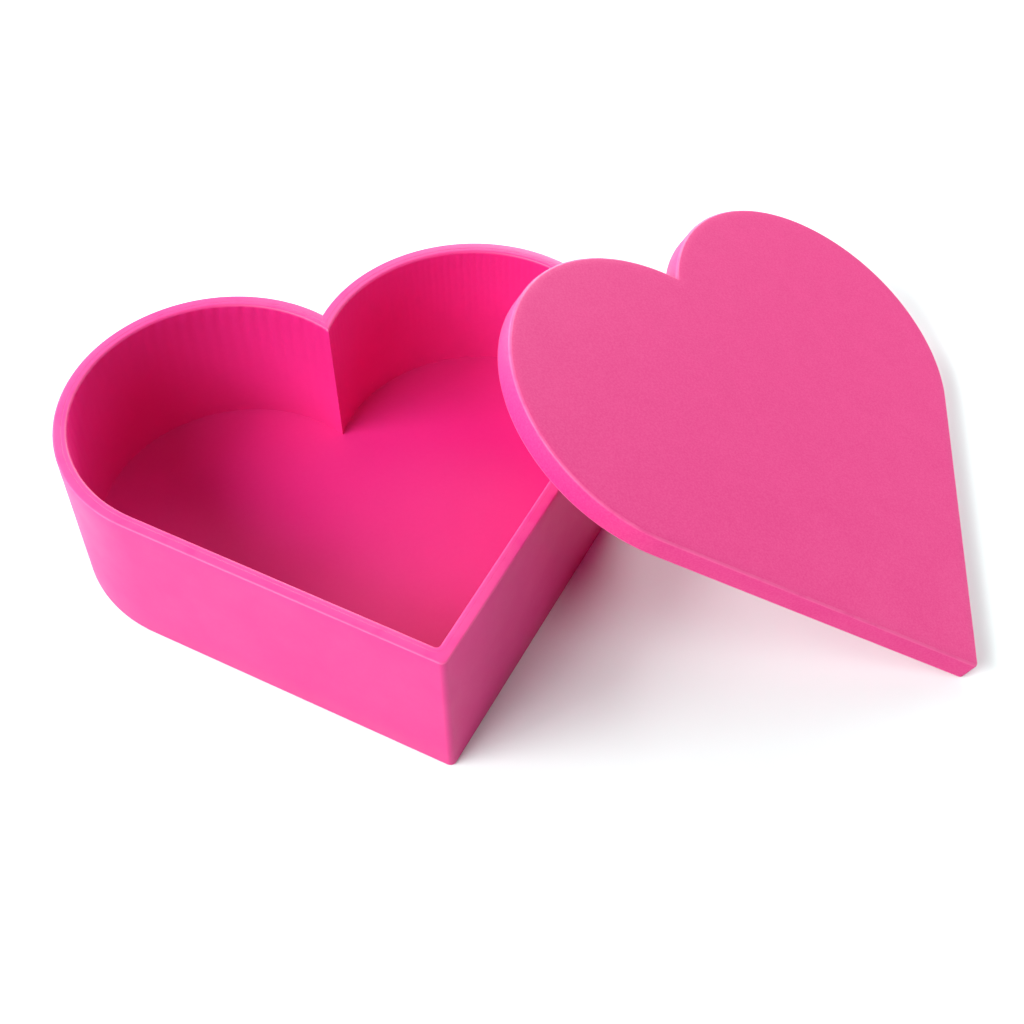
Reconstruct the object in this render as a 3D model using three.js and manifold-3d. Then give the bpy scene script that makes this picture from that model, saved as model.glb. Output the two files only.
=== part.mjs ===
// Heart-shaped keepsake box: an open tray and a loose lid that leans on it.
// Millimetres, +Z up. The origin is on the tray's underside, midway along its length.
// The tip of the tray points to -Y, its notch to +Y.

import * as THREE from "three";
import { mergeVertices } from "three/addons/utils/BufferGeometryUtils.js";
import Module from "manifold-3d";

const wasm = await Module();
wasm.setup();

// The heart: two straight sides at right angles, each running on into a round lobe.
const sideLength = 54;
const lobeRadius = 25.5;
const sideAngle = Math.PI / 4;
const arcSegments = 36;

// Tray.
const trayHeight = 27;
const wallThickness = 2.25;
const floorThickness = 2;
const trayTipRadius = 1;
const cavityTipRadius = 0.6;
const rimChamfer = 0.5;

// Lid: a plate that overhangs the tray, and a shallow plug that drops into the tray.
const lidThickness = 4;
const lidOverhang = 1.9;
const lidTipRadius = 0.8;
const plugDepth = 2;
const plugClearance = 0.4;
const plugTipRadius = 0.8;

// Softened edges.
const edgeRound = 0.4;
const edgeSegments = 2;

// Where the lid rests: its right side lies on the ground and its plug on the tray's right lobe.
const restHeading = THREE.MathUtils.degToRad(68.7);
const restStartX = 79.4;
const restStartFromTip = -7.2;
const restGap = 0.3;

// How far solids that are joined or cut run past each other.
const overlap = 1;

// Points of the heart that follow from the sizes above, with the sharp tip at y = 0.
const lobeCentre = new THREE.Vector2(
  (sideLength - lobeRadius) * Math.sin(sideAngle),
  (sideLength + lobeRadius) * Math.cos(sideAngle),
);
const halfLength = (lobeCentre.y + lobeRadius) / 2;

/** The heart's outline moved inwards by inset, with its tip rounded to tipRadius. */
function heartShape(inset, tipRadius) {
  const radius = lobeRadius - inset;
  const notchAngle = Math.acos(-lobeCentre.x / radius);
  const tipCentreY = (inset + tipRadius) / Math.sin(sideAngle);
  const shape = new THREE.Shape();
  shape.absarc(0, tipCentreY, tipRadius, Math.PI + sideAngle, 2 * Math.PI - sideAngle, false);
  shape.absarc(lobeCentre.x, lobeCentre.y, radius, -sideAngle, notchAngle, false);
  shape.absarc(-lobeCentre.x, lobeCentre.y, radius, Math.PI - notchAngle, Math.PI + sideAngle, false);
  shape.closePath();
  return shape;
}

/** A heart from z = low to z = high whose top and bottom edges are cut back by edge. */
function heartSolid({ inset, tipRadius, low, high, edge = 0, segments = 1 }) {
  const geometry = new THREE.ExtrudeGeometry(heartShape(inset, tipRadius), {
    depth: high - low - 2 * edge,
    curveSegments: arcSegments,
    bevelEnabled: edge > 0,
    bevelThickness: edge,
    bevelSize: edge,
    bevelOffset: -edge,
    bevelSegments: segments,
  });
  geometry.translate(0, 0, low + edge);
  return toManifold(geometry);
}

/** A closed three.js geometry as a manifold solid. */
function toManifold(geometry) {
  const bare = geometry.clone();
  bare.deleteAttribute("normal");
  bare.deleteAttribute("uv");
  const merged = mergeVertices(bare, 1e-4);
  return new wasm.Manifold(new wasm.Mesh({
    numProp: 3,
    vertProperties: new Float32Array(merged.attributes.position.array),
    triVerts: new Uint32Array(merged.index.array),
  }));
}

/** A manifold solid as three.js geometry. */
function toGeometry(solid) {
  const { numProp, vertProperties, triVerts } = solid.getMesh();
  const geometry = new THREE.BufferGeometry();
  const points = new THREE.InterleavedBuffer(new Float32Array(vertProperties), numProp);
  geometry.setAttribute("position", new THREE.InterleavedBufferAttribute(points, 3, 0));
  geometry.setIndex(Array.from(triVerts));
  const flat = geometry.toNonIndexed();
  flat.computeVertexNormals();
  return flat;
}

/** The tray: outer heart, hollowed down to its floor, with a chamfer round the mouth. */
function makeTray() {
  const body = heartSolid({
    inset: 0,
    tipRadius: trayTipRadius,
    low: 0,
    high: trayHeight,
    edge: edgeRound,
    segments: edgeSegments,
  });
  const cavity = heartSolid({
    inset: wallThickness,
    tipRadius: cavityTipRadius,
    low: floorThickness,
    high: trayHeight + overlap,
  });
  const mouth = heartSolid({
    inset: wallThickness - rimChamfer,
    tipRadius: cavityTipRadius + rimChamfer,
    low: trayHeight - rimChamfer,
    high: trayHeight - rimChamfer + 2 * overlap,
    edge: rimChamfer,
  });
  const geometry = toGeometry(body.subtract(cavity).subtract(mouth));
  geometry.translate(0, -halfLength, 0);
  return geometry;
}

/** The lid in its own frame: plate above z = 0, plug below it, sharp tip at the origin. */
function makeFlatLid() {
  const plate = heartSolid({
    inset: -lidOverhang,
    tipRadius: lidTipRadius,
    low: 0,
    high: lidThickness,
    edge: edgeRound,
    segments: edgeSegments,
  });
  const plug = heartSolid({
    inset: wallThickness + plugClearance,
    tipRadius: plugTipRadius,
    low: -plugDepth,
    high: overlap,
    edge: edgeRound,
  });
  return toGeometry(plate.add(plug));
}

/** Takes the lid from its own frame to the pose where it leans on the tray. */
function leaningPose() {
  const start = new THREE.Vector3(restStartX, restStartFromTip - halfLength, 0);
  const along = new THREE.Vector3(Math.cos(restHeading), Math.sin(restHeading), 0);
  const up = new THREE.Vector3(0, 0, 1);
  const across = new THREE.Vector3().crossVectors(up, along);
  const lobe = new THREE.Vector3(lobeCentre.x, lobeCentre.y - halfLength, 0);
  const reach = lobe.sub(start).dot(across) - lobeRadius;
  const drop = plugDepth + restGap;
  const tilt = Math.atan2(trayHeight, reach) + Math.asin(drop / Math.hypot(trayHeight, reach));
  const rising = across.clone().multiplyScalar(Math.cos(tilt)).addScaledVector(up, Math.sin(tilt));
  const normal = new THREE.Vector3().crossVectors(along, rising);
  const lidY = along.clone().multiplyScalar(Math.cos(sideAngle))
    .addScaledVector(rising, Math.sin(sideAngle));
  const lidX = new THREE.Vector3().crossVectors(lidY, normal);
  const origin = start.clone().addScaledVector(rising, lidOverhang);
  return new THREE.Matrix4().makeBasis(lidX, lidY, normal).setPosition(origin);
}

/** The lid leaning on the tray, lowered so that its resting edge touches the ground. */
function makeLid() {
  const geometry = makeFlatLid();
  geometry.applyMatrix4(leaningPose());
  geometry.computeBoundingBox();
  geometry.translate(0, 0, -geometry.boundingBox.min.z);
  return geometry;
}

function addNode(group, name, geometry, color, roughness) {
  const material = new THREE.MeshStandardMaterial({ name, color, roughness, metalness: 0 });
  const mesh = new THREE.Mesh(geometry, material);
  mesh.name = name;
  group.add(mesh);
}

const group = new THREE.Group();
group.name = "heart_box";
addNode(group, "tray", makeTray(), 0xf03a90, 0.55);
addNode(group, "lid", makeLid(), 0xee4f99, 0.6);

export default group;
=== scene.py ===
from math import acos, asin, atan2, cos, hypot, pi, radians, sin, sqrt

import bmesh
import bpy
from mathutils import Matrix, Vector


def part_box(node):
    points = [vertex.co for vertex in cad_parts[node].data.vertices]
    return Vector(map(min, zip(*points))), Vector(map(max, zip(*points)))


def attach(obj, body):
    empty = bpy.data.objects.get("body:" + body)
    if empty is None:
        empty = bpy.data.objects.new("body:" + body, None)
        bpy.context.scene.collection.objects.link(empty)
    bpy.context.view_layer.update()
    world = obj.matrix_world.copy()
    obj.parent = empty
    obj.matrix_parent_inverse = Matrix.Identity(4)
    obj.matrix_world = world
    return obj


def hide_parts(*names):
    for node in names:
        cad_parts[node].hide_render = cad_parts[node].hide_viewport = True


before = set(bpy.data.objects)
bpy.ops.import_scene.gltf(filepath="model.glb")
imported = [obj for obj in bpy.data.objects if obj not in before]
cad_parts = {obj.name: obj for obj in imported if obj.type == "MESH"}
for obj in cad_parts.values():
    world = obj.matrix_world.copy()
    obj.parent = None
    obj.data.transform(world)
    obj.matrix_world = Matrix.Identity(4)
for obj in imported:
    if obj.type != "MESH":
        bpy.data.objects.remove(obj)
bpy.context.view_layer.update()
trayLow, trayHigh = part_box("tray")
lidLow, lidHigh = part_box("lid")
scene = bpy.context.scene
mm = 0.001
print("frame loaded")


# View and light

viewpoint = {
    "target": (20.2 * mm, -6.2 * mm, 12.0 * mm),
    "azimuth": radians(-16.12),  # from straight ahead, along +Y
    "elevation": radians(50.90),
    "roll": radians(-1.59),
    "distance": 271.9 * mm,
    "lens": 60.72,
    "near": 10 * mm,
}


def directionTo(azimuth, elevation):
    # unit vector from the object towards a camera or lamp
    return Vector((sin(azimuth) * cos(elevation), -cos(azimuth) * cos(elevation), sin(elevation)))


def addCamera(v):
    data = bpy.data.cameras.new("camera")
    data.lens = v["lens"]
    data.clip_start = v["near"]
    camera = bpy.data.objects.new("camera", data)
    scene.collection.objects.link(camera)
    back = directionTo(v["azimuth"], v["elevation"])
    level = Vector((cos(v["azimuth"]), sin(v["azimuth"]), 0))
    turn = Matrix((level, back.cross(level), back)).transposed() @ Matrix.Rotation(v["roll"], 3, "Z")
    place = Vector(v["target"]) + v["distance"] * back
    camera.matrix_world = Matrix.Translation(place) @ turn.to_4x4()
    scene.camera = camera


addCamera(viewpoint)


softbox = {
    "size": 0.45,
    "distance": 0.9,  # from the origin
}

# azimuth and elevation in degrees, and watts
softboxes = {
    "left": (-90, 38, 6.71),
    "leftFront": (-60, 38, 5.38),
    "backLeft": (-150, 18, 6.24),
    "backRight": (150, 18, 6.20),
    "backRightHigh": (150, 38, 1.55),
    "rightBack": (120, 38, 1.05),
    "right": (90, 18, 1.78),
    "rightFront": (60, 18, 0.44),
    "frontTop": (30, 60, 1.17),
}


def addSoftbox(name, azimuth, elevation, power):
    data = bpy.data.lights.new(name, "AREA")
    data.shape = "DISK"
    data.size = softbox["size"]
    data.energy = power
    lamp = bpy.data.objects.new(name, data)
    scene.collection.objects.link(lamp)
    towards = directionTo(radians(azimuth), radians(elevation))
    turn = towards.to_track_quat("Z", "Y").to_matrix().to_4x4()
    lamp.matrix_world = Matrix.Translation(softbox["distance"] * towards) @ turn


for name, settings in softboxes.items():
    addSoftbox(name, *settings)


def makeBackdrop():
    # white where it is looked at, and no light from it: the softboxes do that
    world = bpy.data.worlds.new("studio")
    scene.world = world
    world.use_nodes = True
    nodes, links = world.node_tree.nodes, world.node_tree.links
    nodes["Background"].inputs["Color"].default_value = (1, 1, 1, 1)
    seen = nodes.new("ShaderNodeLightPath").outputs["Is Camera Ray"]
    links.new(seen, nodes["Background"].inputs["Strength"])


makeBackdrop()
scene.view_settings.view_transform = "Standard"
print("camera and lights ready")


# The heart's outline: two straight sides at right angles, each running on into a round lobe

tray = {
    "wall": 2.25 * mm,
    "floor": 2.0 * mm,
    "tipRadius": 1.0 * mm,
    "cavityTipRadius": 0.6 * mm,
    "footRound": 0.3 * mm,  # round the underside
    "outerRound": 0.3 * mm,  # outer corner of the rim
    "innerRound": 0.45 * mm,  # inner corner of the rim
    "rimRub": 0.42,  # painted sheen: how pale the top of the rim is, 0 to 1
    "rimDepth": 0.05 * mm,  # how far down the rim's top reaches, groove and all
    "mouthRub": 0.3,  # how pale the inner corner is, for wear and a painted highlight
    "grooveAt": 1.33 * mm,  # fine line along the rim, from its outer side
    "grooveWidth": 0.1 * mm,
    "grooveDepth": 0.035 * mm,
    "roundSteps": 4,
    "wallRows": 9,  # extra rows up the walls, for the ripples
    "rippleHeight": 0.01,  # of a ripple's length
    "rippleLength": {"right": 1.1 * mm, "left": 2.1 * mm},
    "rippleMargin": 0.1 * mm,  # plain strip above the floor
    "reach": 0.01 * mm,  # how near a point must be to count as on the wall
    "lip": 1.2 * mm,  # flat ring that keeps the shading of the big faces even
    "lipTipRadius": 0.3 * mm,
}

heart = {
    "tipSteps": 16,  # edges round a tip
    "lobeSteps": 420,  # edges round one lobe
}

slope = radians(45)
halfWidth = (trayHigh.x - trayLow.x) / 2
sharpTip = trayLow.y - tray["tipRadius"] * (sqrt(2) - 1)  # where the sides would meet
lobeRadius = (trayHigh.y - sharpTip - halfWidth) / sqrt(2)
lobeX = halfWidth - lobeRadius
lobeY = trayHigh.y - sharpTip - lobeRadius


def heartLoop(bm, inset, tipRadius, z):
    # closed outline with its sharp tip at the origin, drawn round from the left of the tip
    old = set(bm.edges)
    radius = lobeRadius - inset
    reach = acos(-lobeX / radius) + slope

    def arc(pen, centre, angle, steps):
        spun = bmesh.ops.spin(bm, geom=[pen], cent=centre, axis=(0, 0, 1), angle=angle, steps=steps)
        return next(g for g in spun["geom_last"] if isinstance(g, bmesh.types.BMVert))

    tip = Vector((0, (inset + tipRadius) / sin(slope), z))
    rightLobe = Vector((lobeX, lobeY, z))
    leftLobe = Vector((-lobeX, lobeY, z))
    outRight = Vector((sin(slope), -cos(slope), 0))
    outLeft = Vector((-sin(slope), -cos(slope), 0))

    start = bm.verts.new(tip + tipRadius * outLeft)
    pen = arc(start, tip, 2 * slope, heart["tipSteps"])
    lobeStart = bm.verts.new(rightLobe + radius * outRight)
    bm.edges.new((pen, lobeStart))
    pen = arc(lobeStart, rightLobe, reach, heart["lobeSteps"])
    pen = arc(pen, leftLobe, reach, heart["lobeSteps"])
    bm.edges.new((pen, start))
    return [edge for edge in bm.edges if edge not in old]


def loft(bm, rows):
    # skins outlines in turn as a tall stack, closes both ends, then puts each at its own height
    spacing = 10 * mm
    loops = []
    for level, (inset, tipRadius, z) in enumerate(rows):
        loops.append(heartLoop(bm, inset, tipRadius, level * spacing))
    for one, two in zip(loops, loops[1:]):
        bmesh.ops.bridge_loops(bm, edges=one + two)
    for end in (loops[0], loops[-1]):
        bmesh.ops.contextual_create(bm, geom=end)
    for level, (loop, row) in enumerate(zip(loops, rows)):
        ring = list({vert for edge in loop for vert in edge.verts})
        bmesh.ops.translate(bm, vec=(0, 0, row[2] - level * spacing), verts=ring)
    bmesh.ops.recalc_face_normals(bm, faces=bm.faces)
    return loops


def soften(bm, edges, radius, segments, rubAndHighlight=1.0):
    # rounds corners, and marks the middle of each new rounding by how pale it is painted, for wear and a
    # painted highlight
    made = bmesh.ops.bevel(
        bm,
        geom=edges,
        offset=radius,
        offset_type="OFFSET",
        segments=segments,
        profile=0.5,
        affect="EDGES",
        clamp_overlap=False,
        loop_slide=True,
        material=-1,
    )
    rounding = set(made["faces"])
    rubbedAndHighlit = bm.verts.layers.float["edge"]
    for vert in {vert for face in rounding for vert in face.verts}:
        if all(face in rounding for face in vert.link_faces):
            vert[rubbedAndHighlit] = rubAndHighlight


creaseAngle = radians(30)  # sharper corners than this stay crisp


def finishMesh(bm, name, place, material, body, node):
    bmesh.ops.transform(bm, matrix=place, verts=bm.verts)
    for face in bm.faces:
        face.smooth = True
    for edge in bm.edges:
        edge.smooth = edge.calc_face_angle(0) < creaseAngle
    mesh = bpy.data.meshes.new(name)
    bm.to_mesh(mesh)
    bm.free()
    piece = bpy.data.objects.new(name, mesh)
    scene.collection.objects.link(piece)
    mesh.materials.append(material)
    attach(piece, body)
    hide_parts(node)
    print(name, "made,", len(mesh.vertices), "vertices")
    return piece


# Surface effects shared by the two plastics. Every pattern is in metres, on Object coordinates

def startGroup(name, inputs, outputs):
    group = bpy.data.node_groups.new(name, "ShaderNodeTree")
    for title, (kind, value) in inputs.items():
        socket = group.interface.new_socket(name=title, in_out="INPUT", socket_type="NodeSocket" + kind)
        socket.default_value = value
    for title, kind in outputs.items():
        group.interface.new_socket(name=title, in_out="OUTPUT", socket_type="NodeSocket" + kind)
    return group, group.nodes.new("NodeGroupInput").outputs, group.nodes.new("NodeGroupOutput").inputs


def addNode(tree, kind, values=None, **settings):
    # one node with its settings, and its input values by name or number
    node = tree.nodes.new(kind)
    for key, value in settings.items():
        setattr(node, key, value)
    for key, value in (values or {}).items():
        if isinstance(value, bpy.types.NodeSocket):
            tree.links.new(value, node.inputs[key])
        else:
            node.inputs[key].default_value = value
    return node


def mathNode(tree, operation, *values):
    return addNode(tree, "ShaderNodeMath", dict(enumerate(values)), operation=operation).outputs[0]


def noiseNode(tree, size, detail, distortion=0.0):
    # noise whose blobs are about size metres across
    place = addNode(tree, "ShaderNodeTexCoord").outputs["Object"]
    scale = mathNode(tree, "DIVIDE", 0.5, size)
    values = {"Vector": place, "Scale": scale, "Detail": detail, "Distortion": distortion}
    return addNode(tree, "ShaderNodeTexNoise", values).outputs["Fac"]


def stretch(tree, value, low, high):
    # value spread so that low becomes 0 and high becomes 1
    values = {"Value": value, "From Min": low, "From Max": high}
    return addNode(tree, "ShaderNodeMapRange", values).outputs["Result"]


def mixColour(tree, amount, one, two):
    values = {"Factor": amount, 6: one, 7: two}
    return addNode(tree, "ShaderNodeMix", values, data_type="RGBA").outputs[2]


def mottleGroup():
    # soft drifts between two shades, from how the plastic flowed and cooled
    kinds = {
        "Colour": ("Color", (1, 1, 1, 1)),
        "Second Colour": ("Color", (0, 0, 0, 1)),
        "Size": ("Float", 4 * mm),
        "Amount": ("Float", 0.5),
    }
    group, given, out = startGroup("mottle", kinds, {"Colour": "Color", "Drift": "Float"})
    broad = stretch(group, noiseNode(group, given["Size"], 2, 0.6), 0.35, 0.65)
    smallSize = mathNode(group, "MULTIPLY", given["Size"], 0.22)
    small = stretch(group, noiseNode(group, smallSize, 2), 0.3, 0.7)
    smallShare = mathNode(group, "MULTIPLY", small, 0.35)
    drift = mathNode(group, "ADD", mathNode(group, "MULTIPLY", broad, 0.65), smallShare)
    amount = mathNode(group, "MULTIPLY", drift, given["Amount"])
    group.links.new(mixColour(group, amount, given["Colour"], given["Second Colour"]), out["Colour"])
    group.links.new(drift, out["Drift"])
    return group


def grainGroup():
    # the fine tooth of the surface: a height in metres, and a tone from 0 to 1
    kinds = {"Size": ("Float", 0.3 * mm), "Height": ("Float", 0.004 * mm)}
    group, given, out = startGroup("grain", kinds, {"Height": "Float", "Tone": "Float"})
    fine = noiseNode(group, given["Size"], 3)
    coarse = noiseNode(group, mathNode(group, "MULTIPLY", given["Size"], 4), 2)
    coarseShare = mathNode(group, "MULTIPLY", coarse, 1.2)
    both = mathNode(group, "ADD", mathNode(group, "MULTIPLY", fine, 0.7), coarseShare)
    group.links.new(mathNode(group, "MULTIPLY", both, given["Height"]), out["Height"])
    group.links.new(stretch(group, fine, 0.35, 0.65), out["Tone"])
    return group


def speckGroup():
    # a few pale pin-head specks and pits, one in each of a small share of the cells
    kinds = {"Spacing": ("Float", 4 * mm), "Width": ("Float", 0.3 * mm), "Share": ("Float", 0.4)}
    group, given, out = startGroup("speck", kinds, {"Mask": "Float"})
    place = addNode(group, "ShaderNodeTexCoord").outputs["Object"]
    scale = mathNode(group, "DIVIDE", 1, given["Spacing"])
    cells = addNode(group, "ShaderNodeTexVoronoi", {"Vector": place, "Scale": scale})
    distance = mathNode(group, "MULTIPLY", cells.outputs["Distance"], given["Spacing"])
    near = mathNode(group, "LESS_THAN", distance, mathNode(group, "MULTIPLY", given["Width"], 0.5))
    pick = addNode(group, "ShaderNodeSeparateColor", {"Color": cells.outputs["Color"]}).outputs[0]
    chosen = mathNode(group, "LESS_THAN", pick, given["Share"])
    group.links.new(mathNode(group, "MULTIPLY", near, chosen), out["Mask"])
    return group


def edgeGroup():
    # rubbed corners and painted highlights along them, with a painted sheen on the rim's top: paler where
    # the mesh's edge attribute is high, a little uneven
    kinds = {
        "Colour": ("Color", (1, 1, 1, 1)),
        "Worn Colour": ("Color", (1, 1, 1, 1)),
        "Amount": ("Float", 0.5),
    }
    group, given, out = startGroup("edgeWearAndHighlight", kinds, {"Colour": "Color"})
    edge = addNode(group, "ShaderNodeAttribute", attribute_name="edge").outputs["Fac"]
    patches = stretch(group, noiseNode(group, 1.5 * mm, 3), 0.05, 0.5)
    amount = mathNode(group, "MULTIPLY", mathNode(group, "MULTIPLY", edge, patches), given["Amount"])
    group.links.new(mixColour(group, amount, given["Colour"], given["Worn Colour"]), out["Colour"])
    return group


effects = {"mottle": mottleGroup(), "grain": grainGroup(), "speck": speckGroup(), "edgeWearAndHighlight": edgeGroup()}


def addEffect(tree, name, **values):
    # values are named as the group's sockets, without their spaces
    node = tree.nodes.new("ShaderNodeGroup")
    node.node_tree = effects[name]
    for socket in node.inputs:
        value = values.get(socket.name.replace(" ", ""))
        if isinstance(value, bpy.types.NodeSocket):
            tree.links.new(value, socket)
        elif value is not None:
            socket.default_value = value
    return node.outputs


def plastic(name, p):
    material = bpy.data.materials.new(name)
    material.use_nodes = True
    tree = material.node_tree
    shader = tree.nodes["Principled BSDF"]
    mottle = addEffect(
        tree, "mottle", Colour=p["colour"], SecondColour=p["shade"], Size=p["mottleSize"], Amount=p["mottle"]
    )
    # corners paled for wear and a painted highlight, and the rim's top for a painted sheen
    wornAndHighlit = addEffect(
        tree, "edgeWearAndHighlight", Colour=mottle["Colour"], WornColour=p["wornColour"], Amount=p["wear"]
    )
    speck = addEffect(
        tree, "speck", Spacing=p["speckSpacing"], Width=p["speckWidth"], Share=p["speckShare"]
    )
    grain = addEffect(tree, "grain", Size=p["grainSize"], Height=p["grainHeight"])
    paleSpecks = mathNode(tree, "MULTIPLY", speck["Mask"], p["speck"])
    paleGrain = mathNode(tree, "MULTIPLY", grain["Tone"], p["grainTone"])
    pale = mathNode(tree, "ADD", paleSpecks, paleGrain)
    tree.links.new(mixColour(tree, pale, wornAndHighlit["Colour"], p["wornColour"]), shader.inputs["Base Color"])

    raised = mathNode(tree, "MULTIPLY", speck["Mask"], p["speckHeight"])
    height = mathNode(tree, "ADD", grain["Height"], raised)
    bump = addNode(tree, "ShaderNodeBump", {"Height": height, "Distance": 1.0, "Strength": 1.0})
    tree.links.new(bump.outputs["Normal"], shader.inputs["Normal"])

    values = {"Value": mottle["Drift"], "To Min": p["roughness"][0], "To Max": p["roughness"][1]}
    roughness = addNode(tree, "ShaderNodeMapRange", values).outputs["Result"]
    tree.links.new(roughness, shader.inputs["Roughness"])
    shader.inputs["IOR"].default_value = p["ior"]
    return material


# Tray

trayPlastic = {
    "colour": (0.710, 0.0160, 0.220, 1),
    "shade": (0.660, 0.0130, 0.200, 1),
    "wornColour": (0.92, 0.16, 0.38, 1),
    "mottleSize": 9 * mm,
    "mottle": 0.35,
    "wear": 0.5,
    "grainSize": 0.35 * mm,
    "grainHeight": 0.0025 * mm,
    "grainTone": 0.02,
    "speckSpacing": 7 * mm,
    "speckWidth": 0.25 * mm,
    "speckShare": 0.25,
    "speck": 0.25,
    "speckHeight": 0.01 * mm,
    "roughness": (0.44, 0.54),
    "ior": 1.5,
}


def rippleWalls(bm, t, height):
    # faint upright ribs inside the lobes, strongest at the rim and fading towards the floor
    radius = lobeRadius - t["wall"]
    for vert in bm.verts:
        if not t["floor"] + t["rippleMargin"] < vert.co.z < height - t["innerRound"] / 2:
            continue
        side = "right" if vert.co.x > 0 else "left"
        outwards = 1 if side == "right" else -1
        out = vert.co - Vector((outwards * lobeX, lobeY, vert.co.z))
        onWall = abs(out.length - radius) < t["reach"] and abs(vert.co.x) > t["reach"]
        if not onWall or vert.co.y < lobeY - radius * sin(slope):
            continue
        length = t["rippleLength"][side]
        wave = 2 * pi * atan2(out.y, outwards * out.x) * radius / length
        shape = sin(wave) + 0.45 * sin(0.57 * wave + 1.3) + 0.3 * sin(0.23 * wave + 0.4)
        fade = ((vert.co.z - t["floor"]) / (height - t["floor"])) ** 1.5
        vert.co += out.normalized() * shape * fade * t["rippleHeight"] * length


def makeTray(t):
    height = trayHigh.z - trayLow.z
    inner, tip, pocketTip = t["wall"], t["tipRadius"], t["cavityTipRadius"]
    bm = bmesh.new()
    bm.verts.layers.float.new("edge")
    middle, half = t["grooveAt"], t["grooveWidth"] / 2
    groove = [(middle - half, height), (middle, height - t["grooveDepth"]), (middle + half, height)]
    rows = [
        (t["lip"], t["lipTipRadius"], 0),
        (0, tip, 0),
        (0, tip, height),
        *[(inset, pocketTip + inner - inset, z) for inset, z in groove],
        (inner, pocketTip, height),
        (inner, pocketTip, t["floor"]),
        (inner + t["lip"], t["lipTipRadius"], t["floor"]),
    ]
    loops = loft(bm, rows)
    foot, top, mouth = loops[1], loops[2], loops[-3]
    # the foot and the rim's outer corner are painted pale along their roundings: wear and a painted
    # highlight
    soften(bm, foot, t["footRound"], t["roundSteps"])
    soften(bm, top, t["outerRound"], t["roundSteps"])
    soften(bm, mouth, t["innerRound"], t["roundSteps"] + 2, rubAndHighlight=t["mouthRub"])
    # a painted sheen pales the whole top of the rim
    rubbedAndHighlit = bm.verts.layers.float["edge"]
    for vert in bm.verts:
        if vert.co.z > height - t["rimDepth"]:
            vert[rubbedAndHighlit] = t["rimRub"]
    for row in range(1, t["wallRows"] + 1):
        level = t["floor"] + (height - t["floor"]) * row / (t["wallRows"] + 1)
        everything = bm.verts[:] + bm.edges[:] + bm.faces[:]
        bmesh.ops.bisect_plane(bm, geom=everything, plane_co=(0, 0, level), plane_no=(0, 0, 1))
    rippleWalls(bm, t, height)
    place = Matrix.Translation((0, sharpTip, trayLow.z))
    material = plastic("trayPlastic", trayPlastic)
    return finishMesh(bm, "trayShell", place, material, "tray", "tray")


# Lid

lid = {
    "thickness": 4.0 * mm,
    "overhang": 1.9 * mm,
    "tipRadius": 0.8 * mm,
    "plugDepth": 2.0 * mm,
    "plugInset": 2.65 * mm,
    "plugTipRadius": 0.8 * mm,
    "edgeRound": 0.48 * mm,
    "roundSteps": 4,
    "lip": 1.5 * mm,
    "lipTipRadius": 0.3 * mm,
}

lidPlastic = {
    "colour": (0.740, 0.0130, 0.212, 1),
    "shade": (0.695, 0.0110, 0.195, 1),
    "wornColour": (0.92, 0.16, 0.38, 1),
    "mottleSize": 3.5 * mm,
    "mottle": 0.4,
    "wear": 0.5,
    "grainSize": 0.16 * mm,
    "grainHeight": 0.012 * mm,
    "grainTone": 0.16,
    "speckSpacing": 4.5 * mm,
    "speckWidth": 0.3 * mm,
    "speckShare": 0.35,
    "speck": 0.3,
    "speckHeight": 0.02 * mm,
    "roughness": (0.5, 0.6),
    "ior": 1.5,
}

# where it rests: one side along the ground, and the plug on the tray's right lobe
lidRest = {
    "heading": radians(68.7),
    "startX": 79.4 * mm,
    "startFromTip": -7.2 * mm,
    "gap": 0.3 * mm,
}


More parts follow.
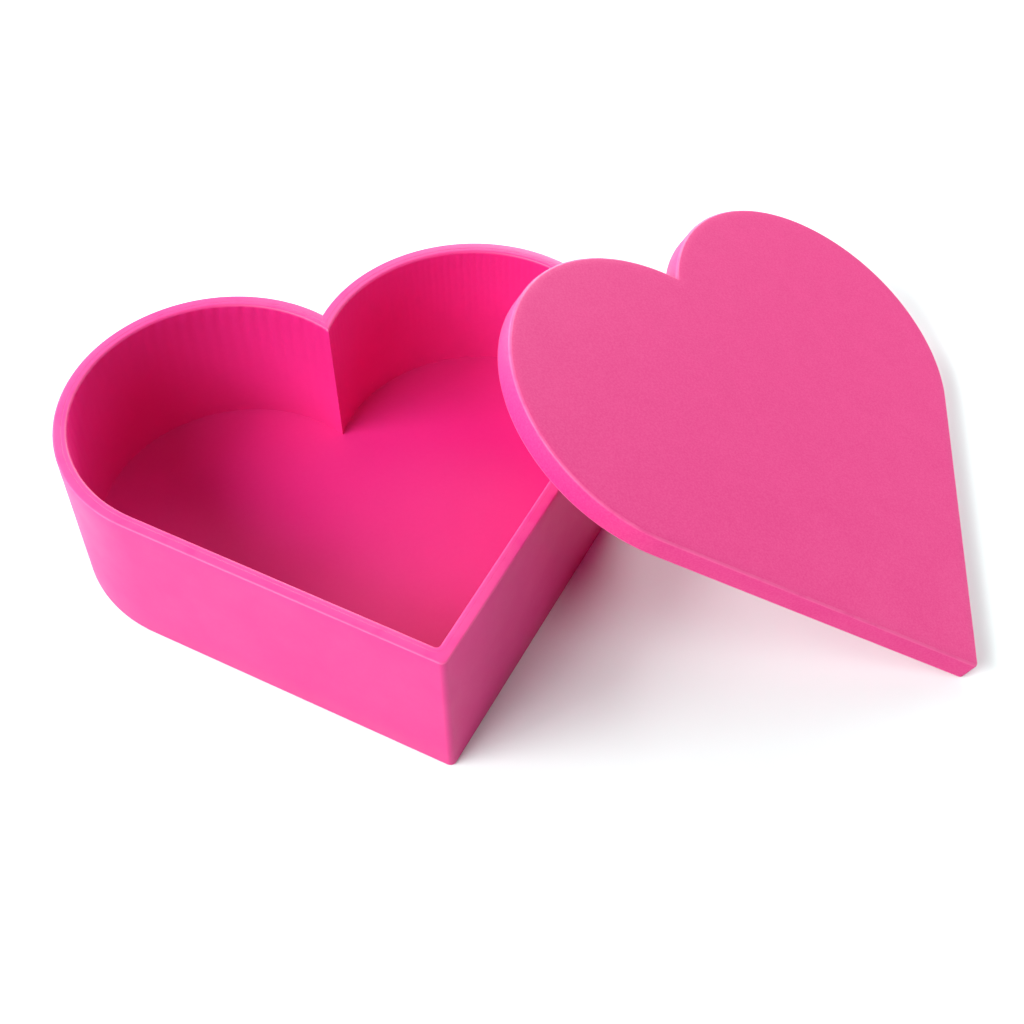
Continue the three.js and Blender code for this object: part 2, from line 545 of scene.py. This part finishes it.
def leaningPose(rest, height):
    start = Vector((rest["startX"], rest["startFromTip"] + sharpTip, 0))
    along = Vector((cos(rest["heading"]), sin(rest["heading"]), 0))
    up = Vector((0, 0, 1))
    across = up.cross(along)
    reach = (Vector((lobeX, lobeY + sharpTip, 0)) - start).dot(across) - lobeRadius
    drop = lid["plugDepth"] + rest["gap"]
    tilt = atan2(height, reach) + asin(drop / hypot(height, reach))
    rising = across * cos(tilt) + up * sin(tilt)
    normal = along.cross(rising)
    lidY = along * cos(slope) + rising * sin(slope)
    turn = Matrix((lidY.cross(normal), lidY, normal)).transposed()
    return Matrix.Translation(start + rising * lid["overhang"]) @ turn.to_4x4()


def makeLid(l):
    bm = bmesh.new()
    bm.verts.layers.float.new("edge")
    plug, plate = l["plugInset"], -l["overhang"]
    rows = [
        (plug + l["lip"], l["lipTipRadius"], -l["plugDepth"]),
        (plug, l["plugTipRadius"], -l["plugDepth"]),
        (plug, l["plugTipRadius"], 0),
        (plate, l["tipRadius"], 0),
        (plate, l["tipRadius"], l["thickness"]),
        (plate + l["lip"], l["lipTipRadius"], l["thickness"]),
    ]
    loops = loft(bm, rows)
    # the lid's roundings are painted pale: wear and a painted highlight
    soften(bm, loops[1] + loops[3] + loops[4], l["edgeRound"], l["roundSteps"])
    pose = leaningPose(lidRest, trayHigh.z - trayLow.z)
    lowest = min((pose @ vert.co).z for vert in bm.verts)
    place = Matrix.Translation((0, 0, lidLow.z - lowest)) @ pose
    material = plastic("lidPlastic", lidPlastic)
    return finishMesh(bm, "lidPlate", place, material, "lid", "lid")


makeTray(tray)
makeLid(lid)


# Floor

paperFloor = {
    "radius": 0.5,
    "segments": 96,
    "colour": (0.84, 0.93, 0.92, 1),
    "roughness": 0.9,
}


def makeFloor(f):
    bm = bmesh.new()
    bmesh.ops.create_circle(bm, cap_ends=True, segments=f["segments"], radius=f["radius"])
    mesh = bpy.data.meshes.new("floor")
    bm.to_mesh(mesh)
    bm.free()
    floor = bpy.data.objects.new("floor", mesh)
    scene.collection.objects.link(floor)
    paper = bpy.data.materials.new("floorPaper")
    paper.use_nodes = True
    shader = paper.node_tree.nodes["Principled BSDF"]
    shader.inputs["Base Color"].default_value = f["colour"]
    shader.inputs["Roughness"].default_value = f["roughness"]
    mesh.materials.append(paper)


makeFloor(paperFloor)
print("floor made")
